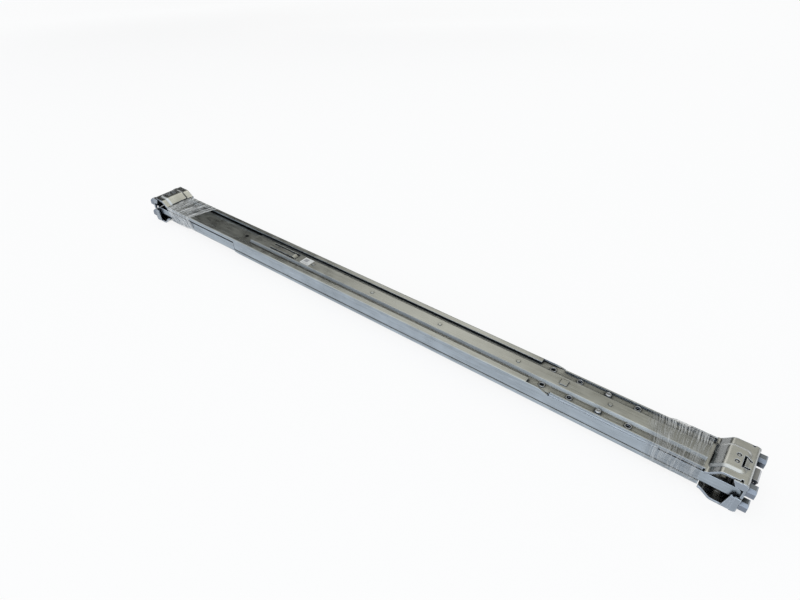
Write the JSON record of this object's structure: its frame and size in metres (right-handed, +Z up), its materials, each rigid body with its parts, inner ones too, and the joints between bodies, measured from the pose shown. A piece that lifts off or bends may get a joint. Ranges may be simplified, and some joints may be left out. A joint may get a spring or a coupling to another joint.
{
  "type": "pair of server rack rails",
  "caption": "Pair of slim telescoping rack rails packed face to face, with peg heads, spring hooks, sliding extension arms and film wraps near the ends.",
  "frame": {"origin": "under the middle of the pack, on the plane that it lies on", "axes": "+X along the rails towards the upper rail's arm end, +Y away from the front side, +Z up"},
  "size_m": [0.7, 0.0412, 0.0322],
  "materials": {
    "rail_steel": "zinc plated sheet",
    "bracket_steel": "zinc plated sheet",
    "peg_steel": "zinc plated, machined",
    "fastener_steel": "bright",
    "spring_steel": "bright spring strip",
    "latch_chrome": "nickel plated",
    "label_paper": "white sticker",
    "stretch_film": "clear stretch film"
  },
  "bodies": {
    "rails": {"upper_channel": "rail_steel", "upper_ledge": "rail_steel", "upper_front_bracket": "bracket_steel", "upper_front_bracket_rivets": "fastener_steel", "upper_front_pegs": "peg_steel", "upper_front_latch_pin": "fastener_steel", "upper_front_latch_spring": "spring_steel", "upper_front_latch_rivets": "fastener_steel", "lower_channel": "rail_steel", "lower_ledge": "rail_steel", "lower_front_bracket": "bracket_steel", "lower_front_bracket_rivets": "fastener_steel", "lower_front_pegs": "peg_steel", "lower_front_latch_pin": "fastener_steel", "lower_front_latch_spring": "spring_steel", "lower_front_latch_rivets": "fastener_steel", "film_wrap_left": "stretch_film", "film_wrap_right": "stretch_film"},
    "upper_arm": {"upper_arm": "rail_steel", "upper_arm_ledge": "rail_steel", "upper_arm_screws": "fastener_steel", "upper_rear_bracket": "bracket_steel", "upper_rear_bracket_rivets": "fastener_steel", "upper_rear_pegs": "peg_steel", "upper_rear_latch_pin": "fastener_steel", "upper_rear_latch_spring": "spring_steel", "upper_rear_latch_rivets": "fastener_steel", "upper_label": "label_paper"},
    "lower_arm": {"lower_arm": "rail_steel", "lower_arm_ledge": "rail_steel", "lower_arm_screws": "fastener_steel", "lower_rear_bracket": "bracket_steel", "lower_rear_bracket_rivets": "fastener_steel", "lower_rear_pegs": "peg_steel", "lower_rear_latch_pin": "fastener_steel", "lower_rear_latch_spring": "spring_steel", "lower_rear_latch_rivets": "fastener_steel"},
    "upper_front_latch": {"upper_front_latch": "latch_chrome"},
    "upper_rear_latch": {"upper_rear_latch": "latch_chrome"},
    "lower_front_latch": {"lower_front_latch": "latch_chrome"},
    "lower_rear_latch": {"lower_rear_latch": "latch_chrome"}
  },
  "joints": [
    {"name": "upper_arm_slide", "type": "slide", "parent": "rails", "child": "upper_arm", "axis": [1, 0, 0], "range_m": [0, 0.25]},
    {"name": "lower_arm_slide", "type": "slide", "parent": "rails", "child": "lower_arm", "axis": [-1, 0, 0], "range_m": [0, 0.25]},
    {"name": "upper_front_latch_hinge", "type": "hinge", "parent": "rails", "child": "upper_front_latch", "pos_m": [-0.3355, 0.0002, 0.0237], "axis": [0, 1, 0], "range_deg": [0, 11], "stiffness_Nm_per_rad": 0.3, "springref_deg": -5.73, "deforming": ["upper_front_latch_spring"]},
    {"name": "upper_rear_latch_hinge", "type": "hinge", "parent": "upper_arm", "child": "upper_rear_latch", "pos_m": [0.3355, 0.0002, 0.0237], "axis": [0, -1, 0], "range_deg": [0, 11], "stiffness_Nm_per_rad": 0.3, "springref_deg": -5.73, "deforming": ["upper_rear_latch_spring"]},
    {"name": "lower_front_latch_hinge", "type": "hinge", "parent": "rails", "child": "lower_front_latch", "pos_m": [0.3355, -0.0002, 0.0085], "axis": [0, 1, 0], "range_deg": [0, 11], "stiffness_Nm_per_rad": 0.3, "springref_deg": -5.73, "deforming": ["lower_front_latch_spring"]},
    {"name": "lower_rear_latch_hinge", "type": "hinge", "parent": "lower_arm", "child": "lower_rear_latch", "pos_m": [-0.3355, -0.0002, 0.0085], "axis": [0, -1, 0], "range_deg": [0, 11], "stiffness_Nm_per_rad": 0.3, "springref_deg": -5.73, "deforming": ["lower_rear_latch_spring"]}
  ]
}
